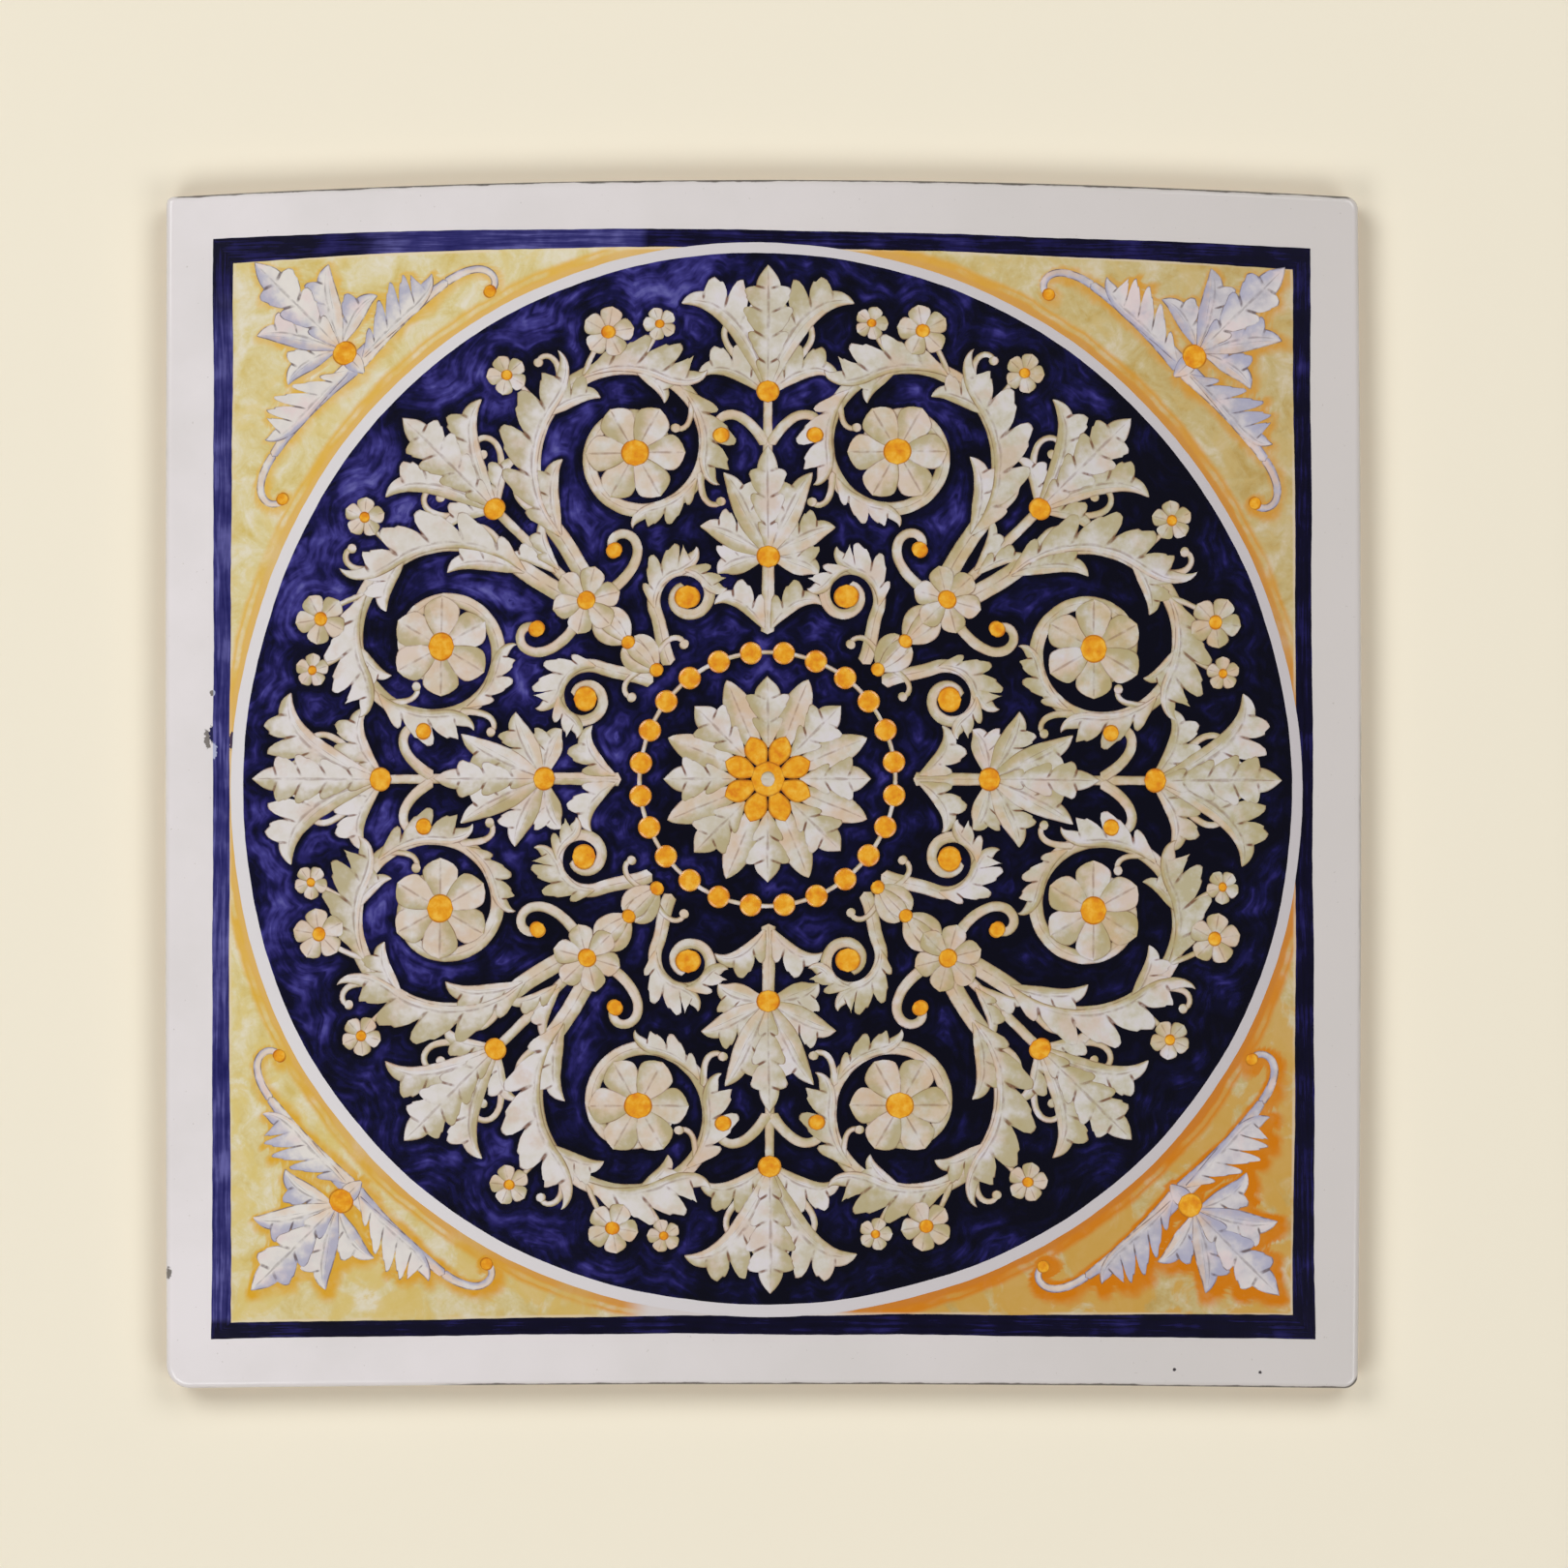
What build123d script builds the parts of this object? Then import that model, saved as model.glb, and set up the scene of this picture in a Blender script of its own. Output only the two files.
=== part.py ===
from build123d import *
import os

# Square glazed wall tile, fired in one piece.
# The tile lies on its back: +Z points out of the glazed face, +Y towards the edge that is uppermost
# on the wall, and the origin is at the middle of the box that holds the tile, on its back.
# All lengths are in millimetres and all angles in degrees.

# Outline, measured at the glazed face
side = 300.0  # straight length of each side, from corner to corner
thickness = 12.0  # fired body with its glaze
top_bow = 4.4  # how far the middle of each edge stands out from its straight line
bottom_bow = -1.1  # a negative bow is a hollow edge
right_bow = 0.9
left_bow = 0.3
bottom_left_radius = 6.0  # rounding of each corner in plan; the pressing left them uneven
bottom_right_radius = 3.4
top_right_radius = 3.4
top_left_radius = 1.9

# Edges of the pressed body
side_draft = 1.5  # the sides lean in towards the back, so that the tile leaves its mould
face_edge_radius = 1.4  # soft edge that the glaze runs over; smaller than every corner radius
back_chamfer = 0.8  # arris round the back

# Keying on the back: a grid of shallow pockets between ribs, which the adhesive grips
edge_land = 15.0  # plain band of the back round the grid
rib_width = 6.0  # ribs left standing between the pockets
keys_each_way = 6
key_depth = 1.2
key_corner_radius = 4.0
key_draft = 25.0  # slope of the pocket walls


def edge_line(start, end, bow):
    """One edge of the outline, bowed outwards to the right of its direction of travel."""
    straight = Line(start, end)
    if bow == 0:
        return straight
    outwards = Vector(end) - Vector(start)
    outwards = outwards.rotate(Axis.Z, -90).normalized()
    return ThreePointArc(start, straight @ 0.5 + outwards * bow, end)


def outline():
    """The face of the tile in plan, with its bowed edges and rounded corners."""
    half = side / 2
    corners = [(-half, -half), (half, -half), (half, half), (-half, half)]
    bows = [bottom_bow, right_bow, top_bow, left_bow]
    radii = [bottom_left_radius, bottom_right_radius, top_right_radius, top_left_radius]
    edges = [
        edge_line(corners[i], corners[(i + 1) % 4], bows[i])
        for i in range(4)
    ]
    face = make_face(edges)
    for corner, radius in zip(corners, radii):
        face = fillet(face.vertices().sort_by_distance(corner)[0], radius)
    return face


def pressed_body():
    """The plain tile: drafted sides, a soft edge round the face and an arris round the back."""
    body = extrude(Pos(0, 0, thickness) * outline(), amount=thickness, dir=(0, 0, -1), taper=side_draft)
    body = fillet(body.edges().group_by(Axis.Z)[-1], face_edge_radius)
    return chamfer(body.edges().group_by(Axis.Z)[0], back_chamfer)


def back_keys():
    """The pockets of the back, spread over the field inside the plain band."""
    field = side - 2 * edge_land
    pitch = (field + rib_width) / keys_each_way
    key_size = pitch - rib_width
    key = extrude(RectangleRounded(key_size, key_size, key_corner_radius), amount=key_depth, taper=key_draft)
    return [place * key for place in GridLocations(pitch, pitch, keys_each_way, keys_each_way)]


def tile():
    """The whole tile, set with the middle of its box over the origin."""
    body = pressed_body() - back_keys()
    middle = body.bounding_box().center()
    return Pos(-middle.X, -middle.Y, 0) * body


os.makedirs("parts", exist_ok=True)
export_step(tile(), "parts/tile.step")
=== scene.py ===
import random
from dataclasses import dataclass, replace
from math import atan2, ceil, cos, degrees, hypot, pi, radians, sin

import bmesh
import bpy
from mathutils import Matrix, Vector, kdtree, noise


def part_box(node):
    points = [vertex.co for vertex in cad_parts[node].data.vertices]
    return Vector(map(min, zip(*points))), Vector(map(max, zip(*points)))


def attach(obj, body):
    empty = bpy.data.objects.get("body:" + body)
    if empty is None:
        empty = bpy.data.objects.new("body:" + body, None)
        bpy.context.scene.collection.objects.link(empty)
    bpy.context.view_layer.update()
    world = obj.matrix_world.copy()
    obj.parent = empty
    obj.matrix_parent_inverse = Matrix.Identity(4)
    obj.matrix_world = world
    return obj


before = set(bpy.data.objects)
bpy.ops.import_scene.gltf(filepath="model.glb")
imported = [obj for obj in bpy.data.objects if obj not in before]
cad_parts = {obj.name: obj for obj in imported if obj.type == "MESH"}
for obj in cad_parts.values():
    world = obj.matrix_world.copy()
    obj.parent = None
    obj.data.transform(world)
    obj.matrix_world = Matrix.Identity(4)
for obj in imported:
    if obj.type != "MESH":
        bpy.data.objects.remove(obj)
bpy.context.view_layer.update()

# A square glazed tile, painted by hand: a white margin, a cobalt frame, yellow corners with leaf sprays,
# and a cobalt roundel with a star of scrolling leaves. The paint is thin films of glaze on the fired face.
# The drawing is in millimetres on the face, +X to the right and +Y to the upper edge of the tile.

MM = 0.001
TILE_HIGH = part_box("tile")[1]
FACE = TILE_HIGH.z / MM  # height of the glazed face
random.seed(4)
noise.seed_set(4)

# Painted layout, in the tile's own frame
ROUNDEL_MIDDLE = (1.0, 1.3)
RING_RADIUS = 134.2  # at the middle of its band
RING_WIDTH = 2.85
RING_SWELL, SWELL_ANGLE = 0.19, 225  # the ring is drawn a little broader at the lower left
# Long waves of the ring: how many go round it, their depth and where they start
OUT_OF_ROUND = [(1, 1.0, -120), (2, 0.4, -122), (3, 0.95, -60), (4, 0.7, 176)]
UNDER_RING = 0.5  # the grounds reach this far under the ring

# The painted frame follows the bowed edges of the tile. Its sides are the bottom, right, top and left one;
# each edge has a bow and a skew, which sets the bow nearer to the side's end.
SIDE_NAMES = ["bottom", "right", "top", "left"]
FRAME_OUTSIDE = [(-138.8, -139.8), (138.8, -139.7), (137.6, 134.7), (-138.4, 137.0)]
OUTSIDE_BOWS = [(-1.35, -0.45), (0.0, 0.0), (3.55, 0.2), (-0.2, 0.0)]
FRAME_INSIDE = [(-133.8, -135.6), (133.1, -133.5), (133.1, 129.3), (-133.2, 130.9)]
INSIDE_BOWS = [(-0.85, -0.3), (0.9, 0.0), (4.9, 0.13), (0.7, 0.0)]

# Heights of the films above the face
YELLOW_HEIGHT = 0.03
FRAME_HEIGHT = 0.06
COBALT_HEIGHT = 0.07
RING_HEIGHT = 0.10
FIRST_STROKE = 0.12
STROKE_STEP = 0.0025  # every stroke lies this much higher than the one before it
SUNK = 0.01  # every film reaches this far into the face

# Brushwork
POINT_STEP = 0.5  # spacing of the points along a stroke's line
LOBE_STEPS = 10  # points along each lobe of a leaf
LOBED_ROWS, PLAIN_ROWS = 4, 2  # and across a leaf or a plain stroke
PLAIN_STEP = 0.8  # spacing along a plain stroke
REACH_STEPS, WRAP_STEPS = 40, 24  # points along a line that joins two others, and along a wrapped leaf's stem
ROLL_STEP = 4  # degrees between the points of a spiral
SPREAD = 1.07  # the loaded brush spreads wider than it is set
SHAKE, SHAKE_SPAN = 0.30, 24.0  # the hand's slow drift from the drawn line, and over what length
TREMOR, TREMOR_SPAN = 0.09, 3.1  # and its quick one
OUT_OF_TRUE = 0.4  # how far a group may be turned from its place, in degrees
LOBE_LEAN, WRAPPED_LEAN = 0.6, 0.7  # how far the lobes of a leaf lean forward, as a share of their width


# Lines that the brush follows: lists of (x, y, heading in degrees)

def turn_between(first, last):
    """The shorter turn from one heading to another."""
    return (last - first + 180) % 360 - 180


def at(line, t):
    """The point and heading at the share t of a line."""
    place = min(max(t, 0), 1) * (len(line) - 1)
    i = min(int(place), len(line) - 2)
    f = place - i
    a, b = line[i], line[i + 1]
    return a[0] + (b[0] - a[0]) * f, a[1] + (b[1] - a[1]) * f, a[2] + turn_between(a[2], b[2]) * f


def walk(x, y, heading, bends):
    """A line of bends: each is a length, its first turn and its last turn, in degrees a millimetre."""
    line = [(x, y, heading)]
    for length, first, last in bends:
        steps = max(3, round(length / POINT_STEP))
        step = length / steps
        for i in range(steps):
            half_turn = (first + (last - first) * (i + 0.5) / steps) * step / 2
            heading += half_turn
            x += cos(radians(heading)) * step
            y += sin(radians(heading)) * step
            heading += half_turn
            line.append((x, y, heading))
    return line


def headed(points):
    """Gives each point of a curve its heading."""
    line = []
    for i, (x, y) in enumerate(points):
        before = points[max(i - 1, 0)]
        after = points[min(i + 1, len(points) - 1)]
        line.append((x, y, degrees(atan2(after[1] - before[1], after[0] - before[0]))))
    return line


def even(line):
    """Spreads a line's points at equal steps."""
    spread = [line[0]]
    left = POINT_STEP
    for a, b in zip(line, line[1:]):
        gap = hypot(b[0] - a[0], b[1] - a[1])
        done = 0.0
        while gap - done >= left and gap > 0:
            done += left
            spread.append(at([a, b], done / gap))
            left = POINT_STEP
        left -= gap - done
    return spread


def reach(start, end):
    """A smooth line from one point and heading to another."""
    pull = hypot(end[0] - start[0], end[1] - start[1])
    away = Vector((cos(radians(start[2])), sin(radians(start[2])))) * pull
    onto = Vector((cos(radians(end[2])), sin(radians(end[2])))) * pull
    points = []
    for i in range(REACH_STEPS + 1):
        t = i / REACH_STEPS
        place = Vector(start[:2]) * (2 * t**3 - 3 * t**2 + 1) + away * (t**3 - 2 * t**2 + t)
        place += Vector(end[:2]) * (3 * t**2 - 2 * t**3) + onto * (t**3 - t**2)
        points.append(tuple(place))
    return headed(points)


def roll(middle, first, last, start, sweep):
    """A spiral round its middle, from the first radius to the last. A negative sweep runs clockwise."""
    points = []
    steps = ceil(abs(sweep) / ROLL_STEP)
    for i in range(steps + 1):
        t = i / steps
        radius = first * (last / first) ** (t**1.1)
        angle = radians(start + sweep * t)
        points.append((middle[0] + radius * cos(angle), middle[1] + radius * sin(angle)))
    return headed(points)


def polar(radius, angle):
    """The point at a radius and an angle."""
    return radius * cos(radians(angle)), radius * sin(radians(angle))


# How wide the brush spreads along its line: functions of the share t

def swell(first, middle, last, peak):
    """A half width that grows to the middle and falls off again."""
    def width(t):
        if t < peak:
            return first + (middle - first) * sin(t / peak * pi / 2)
        return last + (middle - last) * max(0.0, cos((t - peak) / (1 - peak) * pi / 2)) ** 0.75
    return width


def taper(first, last, tip=0.02):
    """A half width that changes evenly and is round at both ends."""
    def width(t):
        wide = first + (last - first) * t
        from_end = min(t, 1 - t)
        if from_end < tip:
            wide *= max(0.0, 1 - (1 - from_end / tip) ** 2) ** 0.5
        return wide
    return width


LOBE_PEAK = 0.7  # where along a lobe its point lies
LOBE_RISE, LOBE_FALL = 0.6, 1.7  # how its back bulges, and how steeply it drops behind the point
TIP_FULLNESS = 0.9  # how full the blade is that the leaf ends in


def lobed(width, lobes, depth, teeth):
    """Cuts a half width into lobes that lean forward, with small teeth on their backs, and a pointed tip."""
    def cut(t):
        s = (t * lobes) % 1.0
        in_tip = t * lobes - (lobes - 1)
        if in_tip >= 0:
            return width(1 - 1 / lobes) * (1 - depth) * (1 - in_tip) * (1 + TIP_FULLNESS * in_tip)
        if s < LOBE_PEAK:
            lobe = (s / LOBE_PEAK) ** LOBE_RISE
        else:
            lobe = 1 - ((s - LOBE_PEAK) / (1 - LOBE_PEAK)) ** LOBE_FALL
        return width(t) * (1 - depth + depth * lobe + teeth * ((3 * s) % 1.0 - 1))
    return cut


@dataclass
class Stroke:
    """One stroke of the brush: the line that it follows and its half widths."""
    line: list
    left: object
    right: object
    level: float = 1.0
    lobes: int = 0
    lean: float = 0.0
    paint: str = "cream"
    smooth_side: int = 0  # 1 if the left edge has no lobes, -1 if the right has none

    def turned(self, angle):
        c, s = cos(radians(angle)), sin(radians(angle))
        line = [(x * c - y * s, x * s + y * c, heading + angle) for x, y, heading in self.line]
        return replace(self, line=line)

    def mirrored(self):
        line = [(x, -y, -heading) for x, y, heading in self.line]
        return replace(self, line=line, left=self.right, right=self.left, smooth_side=-self.smooth_side)

    def length(self):
        return sum(hypot(b[0] - a[0], b[1] - a[1]) for a, b in zip(self.line, self.line[1:]))

    def place(self, along, across):
        """The point at a share of the length, and from -1 on the right edge to 1 on the left."""
        x, y, heading = at(self.line, along)
        wide = (self.left if across > 0 else self.right)(along) * abs(across) * SPREAD
        c, s = cos(radians(heading)), sin(radians(heading))
        side = 1 if across > 0 else -1
        forward = wide * self.lean * (1 - along**3)
        return x - s * wide * side + c * forward, y + c * wide * side + s * forward, wide


# Motifs

def even_sided(line, width, level=1.0, **rest):
    """A stroke that is as wide to the left of its line as to the right."""
    return Stroke(line, width, width, level, **rest)


def leaf_width(breadth, lobes, depth=0.55, peak=0.4):
    """The lobed side of a leaf."""
    return lobed(swell(0.10 * breadth, breadth, 0.03 * breadth, peak), lobes, depth, 0.10)


def curling(x, y, heading, length, curl):
    """The line of a leaf, which curls most towards its tip."""
    rate = curl / length
    bends = [(length * 0.6, 0.3 * rate, 0.9 * rate), (length * 0.4, 1.1 * rate, 2.4 * rate)]
    return walk(x, y, heading, bends)


def leaf(x, y, heading, length, curl, breadth, lobes=4, level=2.0, inner=0.3, paint="cream"):
    """A lobed leaf whose large lobes lie outside its bend."""
    outside = leaf_width(breadth, lobes)
    inside = swell(0.1 * breadth, inner * breadth, 0.03 * breadth, 0.35)
    sides = (inside, outside) if curl > 0 else (outside, inside)
    line = curling(x, y, heading, length, curl)
    return Stroke(line, *sides, level, lobes, LOBE_LEAN, paint, 1 if curl > 0 else -1)


def petal(x, y, heading, length, breadth, curl=0.0, level=2.0, peak=0.6, lobes=0, paint="cream"):
    """A petal, or with lobes a straight leaf."""
    rate = curl / length
    line = walk(x, y, heading, [(length, 0.4 * rate, 1.6 * rate)])
    width = swell(0.18 * breadth, breadth, 0.02 * breadth, peak)
    if lobes:
        width = lobed(width, lobes, 0.42, 0.08)
    return even_sided(line, width, level, lobes=lobes, lean=LOBE_LEAN if lobes else 0.0, paint=paint)


def stem(x, length, first, last):
    """A straight stalk along the axis."""
    return even_sided(walk(x, 0, 0, [(length, 0, 0)]), taper(first, last))


def dot(x, y, radius, level=4.0, paint="orange"):
    """A round dab of paint."""
    line = walk(x - radius, y, 0, [(2 * radius, 0, 0)])
    return even_sided(line, lambda t: radius * max(0.0, 1 - (2 * t - 1) ** 2) ** 0.5, level, paint=paint)


def shifted(line, t, turn):
    """The point at t of a line, with its heading turned."""
    x, y, heading = at(line, t)
    return x, y, heading + turn


def wrapped(line, first, last, side, tip, curl, breadth, lobes=5, level=2.2, paint="cream"):
    """A leaf that lies along a stem, on its left (side 1) or right (-1), and curls away at the end."""
    spine = [at(line, first + (last - first) * i / WRAP_STEPS) for i in range(WRAP_STEPS + 1)]
    spine = even(spine + curling(*spine[-1], tip, side * curl)[1:])
    outside = leaf_width(breadth, lobes, 0.58, 0.45)
    inside = swell(0.5, 1.5, 0.1, 0.6)
    sides = (outside, inside) if side > 0 else (inside, outside)
    return Stroke(spine, *sides, level, lobes, WRAPPED_LEAN, paint, -side)


def curl_end(x, y, heading, length, side, first, last, paint="cream"):
    """A stalk that rolls up round a bud."""
    line = walk(x, y, heading, [(length * 0.45, side * 1.2, side * 5), (length * 0.55, side * 7, side * 26)])
    stalk = even_sided(line, taper(first, last), 1.2, paint=paint)
    return [stalk, dot(*line[-1][:2], last * 2.0, 3.6)]


def hook(x, y, heading, length, side, first=0.9):
    """A slender curl with a round end."""
    line = walk(x, y, heading, [(length * 0.5, side * 0.5, side * 6), (length * 0.5, side * 9, side * 34)])
    return [even_sided(line, taper(first, 0.6), 1.3), dot(*line[-1][:2], 1.15, 1.35, "cream")]


def tendril(x, y, heading, length, side, size):
    """A thin stalk that ends in a small flower of five petals."""
    stalk = even_sided(walk(x, y, heading, [(length, side * 1.2, side * 3.2)]), taper(0.7, 0.5), 1.5)
    end_x, end_y, end_heading = stalk.line[-1]
    return [stalk] + flower(end_x, end_y, size, end_heading + 36, 5)


def flower(x, y, radius, turn=0, petals=6):
    """Petals round a heart, every other one on top of its neighbours."""
    strokes = []
    for i in range(petals):
        angle = turn + 360 * i / petals
        dx, dy = polar(radius * 0.1, angle)
        level = 3 + 0.3 * (i % 2)
        strokes.append(petal(x + dx, y + dy, angle, radius * 0.92, radius * 2.05 / petals, 0, level, 0.7))
    return strokes + [dot(x, y, radius * 0.27)]


def big_scroll():
    """The stem that leaves a diagonal, rolls up beside an axis and carries the wrapped leaves."""
    middle = polar(88.5, 21.8)
    spiral = roll(middle, 28.0, 6.5, 134, -640)
    line = even(reach((*polar(61, 43.5), 30), spiral[0])[:-1] + spiral)
    strokes = [even_sided(line, taper(2.2, 1.4, 0.008))]
    strokes += flower(*middle, 12.4, 30)
    strokes += [
        wrapped(line, 0.10, 0.29, 1, 15, 90, 9.0, 6),
        wrapped(line, 0.345, 0.45, 1, 13, 95, 8.8, 5),
        wrapped(line, 0.485, 0.575, 1, 10, 95, 7.2, 4),
        wrapped(line, 0.61, 0.68, 1, 8, 85, 4.6, 4),
    ]
    for t, turn, *shape in ((0.10, -14, 21, -62, 6.8), (0.27, -22, 16, -60, 6.0), (0.41, -22, 13, -60, 5.0)):
        strokes.append(leaf(*shifted(line, t, turn), *shape))
    for t, turn, *shape in ((0.345, 46, 13, -1, 6.4), (0.27, 57, 14, 1, 5.0), (0.41, 50, 13, 1, 4.2)):
        strokes += tendril(*shifted(line, t, turn), *shape)
    for t, turn, *shape in ((0.13, 34, 17, -1), (0.30, 30, 15, 1), (0.60, 22, 12, 1)):
        strokes += hook(*shifted(line, t, turn), *shape)
    strokes += hook(*shifted(line, 0.50, -34), 10, -1, 0.7)
    return strokes


def small_scroll():
    """The small roll between the bead ring and the big scroll."""
    middle = polar(50.0, 23.5)
    spiral = roll(middle, 8.8, 2.8, 118, -470)
    line = even(reach((*polar(37.5, 40), 30), spiral[0])[:-1] + spiral)
    return [
        even_sided(line, taper(1.7, 1.1)),
        dot(*middle, 3.0),
        wrapped(line, 0.26, 0.46, 1, 9, 90, 6.4, 5),
        wrapped(line, 0.50, 0.60, 1, 7, 90, 4.4, 3),
    ]


def axis_spray():
    """What stands on an axis: a palmette on a stalk, and a lily at the ring."""
    strokes = [
        stem(36.5, 24, 1.6, 1.3),
        stem(72, 28, 1.2, 1.0),
        petal(57, 0, 0, 27, 4.8, lobes=4, level=2.8),
        petal(98, 0, 0, 31.5, 6.4, lobes=5, level=2.8),
        dot(56, 0, 2.8),
        dot(97.5, 0, 2.8),
    ]
    for side in (1, -1):
        strokes.append(leaf(38, side * 0.8, side * 30, 16, side * 100, 5.6, 3, 2.1))
        for i, (spread, length, curl) in enumerate(((30, 24, 22), (62, 19, 40), (98, 14, 60))):
            strokes.append(leaf(56, 0, side * (spread - 10), length, side * curl, 6.0, 4, 2.5 - 0.2 * i, 0.6))
        strokes += curl_end(84, side * 0.5, side * 30, 20, side, 1.3, 1.0)
        strokes += hook(102, side * 2.0, side * 62, 24, -side)
        strokes += [
            leaf(99, side * 0.6, side * 14, 33, side * 90, 10.0, 6, 2.4),
            leaf(97, side * 0.6, side * 44, 20, side * 100, 6.4, 4, 1.8),
        ]
    return strokes


def diagonal_spray():
    """What stands on a diagonal: husks, the flower that the scrolls spring from, and a plume of leaves."""
    strokes = [stem(37.5, 62, 1.2, 1.1)]
    for radius in (39, 49):
        strokes += [
            petal(radius, 0, 28, 10.5, 2.6, -40, 2.2),
            petal(radius, 0, -28, 10.5, 2.6, 40, 2.2),
            petal(radius, 0, 0, 11, 2.1, 0, 2.6),
            dot(radius, 0, 1.7),
        ]
    strokes += flower(64, 0, 8.6)
    for side in (1, -1):
        strokes += curl_end(62, side * 4, side * 104, 27, -side, 1.3, 1.0)
        strokes += hook(99, side * 2.0, side * 66, 24, -side)
        strokes += hook(41, side * 0.5, side * 70, 12, side, 0.7)
        strokes += [
            leaf(74, side * 0.5, side * 8, 15, side * 70, 3.6, 3, 1.9),
            leaf(97, side * 0.6, side * 12, 29, side * 74, 8.0, 5, 2.4),
            leaf(96, side * 0.6, side * 40, 15, side * 80, 4.4, 3, 2.0),
        ]
    return strokes + [petal(97, 0, 0, 32, 6.2, lobes=5, level=3), dot(96.5, 0, 2.7)]


def rosette():
    """The rose in the middle: three rows of leaves round a boss."""
    strokes = [dot(0, 0, 4.2), dot(0, 0, 1.8, 5.0, "cream")]
    for i in range(8):
        angle, between = i * 45, i * 45 + 22.5
        strokes += [
            petal(*polar(8, angle), angle, 18, 5.6, 0, 2 + 0.4 * (i % 2), 0.55, 3),
            petal(*polar(6, between), between, 21, 3.4, 0, 1.4),
            petal(*polar(3, between), between, 8.6, 2.7, 0, 3 + 0.3 * (i % 2), paint="orange"),
        ]
    return strokes


BEAD_RING = 32.0  # radius of the string of beads round the rose
BEAD_RADIUS = 2.9
BEAD_COUNT = 24
BEAD_LEVEL = 90
THREAD = 0.5  # half width of the thread


def bead_string():
    """The thread that the beads are strung on."""
    rate = degrees(1 / BEAD_RING)
    line = walk(BEAD_RING, 0, 90, [(2 * pi * BEAD_RING, rate, rate)])
    return [even_sided(line, lambda t: THREAD)]


def corner_spray():
    """A palmette that points to the corner, with a leafy branch along the ring to either side."""
    strokes = [
        petal(153, 0, 0, 30, 5.6, lobes=4, level=3, paint="lilac"),
        dot(151, 0, 3.0),
        petal(144, 0, 0, 8, 2.2, peak=0.5, level=1.8, paint="lilac"),
    ]
    for side in (1, -1):
        branch = walk(147, side * 0.5, side * 86, [(31, side * 0.42, side * 0.52)])
        strokes += [
            leaf(153, side * 0.6, side * 22, 21, side * 40, 6.2, 4, 2.7, 0.5, "lilac"),
            leaf(153, side * 0.8, side * 60, 16, side * 60, 5.0, 3, 2.4, 0.5, "lilac"),
            even_sided(branch, taper(2.2, 1.0), 1.4, paint="lilac"),
            wrapped(branch, 0.06, 0.62, -side, 11, 60, 8.6, 6, 2.2, "lilac"),
        ]
        strokes += curl_end(*branch[-3], 18, side, 1.0, 0.8, "lilac")
    return strokes


# From strokes to films of glaze

def by_hand(x, y):
    """Where the hand really set a drawn point."""
    slow = noise.noise_vector(Vector((x, y, 3.0)) / SHAKE_SPAN) * SHAKE
    quick = noise.noise_vector(Vector((x, y, 9.0)) / TREMOR_SPAN) * TREMOR
    return x + slow.x + quick.x, y + slow.y + quick.y


def on_tile(x, y):
    """The place on the tile of a point that is drawn round the roundel's middle."""
    return by_hand(x + ROUNDEL_MIDDLE[0], y + ROUNDEL_MIDDLE[1])


def unit_grid(bm, columns, rows):
    """A grid from -0.5 to 0.5 both ways."""
    return bmesh.ops.create_grid(bm, x_segments=columns, y_segments=rows, size=0.5)["verts"]


def open_edges(bm):
    return [edge for edge in bm.edges if edge.is_boundary]


def close_below(bm, rim):
    """Draws the open rim of a film down into the face, and gives back the rim below."""
    walls = bmesh.ops.extrude_edge_only(bm, edges=rim)["geom"]
    for vert in walls:
        if isinstance(vert, bmesh.types.BMVert):
            vert.co.z = FACE - SUNK
    return [edge for edge in walls if isinstance(edge, bmesh.types.BMEdge) and edge.is_boundary]


def closed_film(bm, rim=None):
    """Makes an open film a closed one, with a flat bottom."""
    bmesh.ops.contextual_create(bm, geom=close_below(bm, rim or open_edges(bm)))
    return bm


def stack(groups):
    """Lifts every stroke to a level of its own, in the order of their levels, so that no two films meet."""
    strokes = [stroke for group in groups for stroke in group]
    for i, stroke in enumerate(sorted(strokes, key=lambda stroke: stroke.level)):
        stroke.level = i


def film_height(level):
    """How high above the face a stroke of this level lies."""
    return FIRST_STROKE + STROKE_STEP * level


def lay_stroke(bm, stroke, rims):
    """Lays one stroke as a closed film, with its place in the stroke kept for its material."""
    stroke_data, tint_data = bm.verts.layers.float_vector["stroke"], bm.verts.layers.float["tint"]
    steps = stroke.lobes * LOBE_STEPS or max(10, ceil(stroke.length() / PLAIN_STEP))
    grid = unit_grid(bm, steps, LOBED_ROWS if stroke.lobes else PLAIN_ROWS)
    height = film_height(stroke.level)
    tint = random.random()
    for vert in grid:
        along, across = vert.co.x + 0.5, vert.co.y * 2
        x, y, wide = stroke.place(along, across)
        whole = wide / abs(across) if across else stroke.left(along) * SPREAD
        x, y = on_tile(x, y)
        vert.co = (x, y, FACE + height)
        veined = stroke.lobes and across * stroke.smooth_side <= 0
        vert[stroke_data] = (along * stroke.lobes if veined else 0.5, across, whole * (1 - abs(across)))
        vert[tint_data] = tint
        if abs(across) > 0.99:
            rims.append((x, y))
    closed_film(bm, list({edge for vert in grid for edge in vert.link_edges if edge.is_boundary}))


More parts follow.
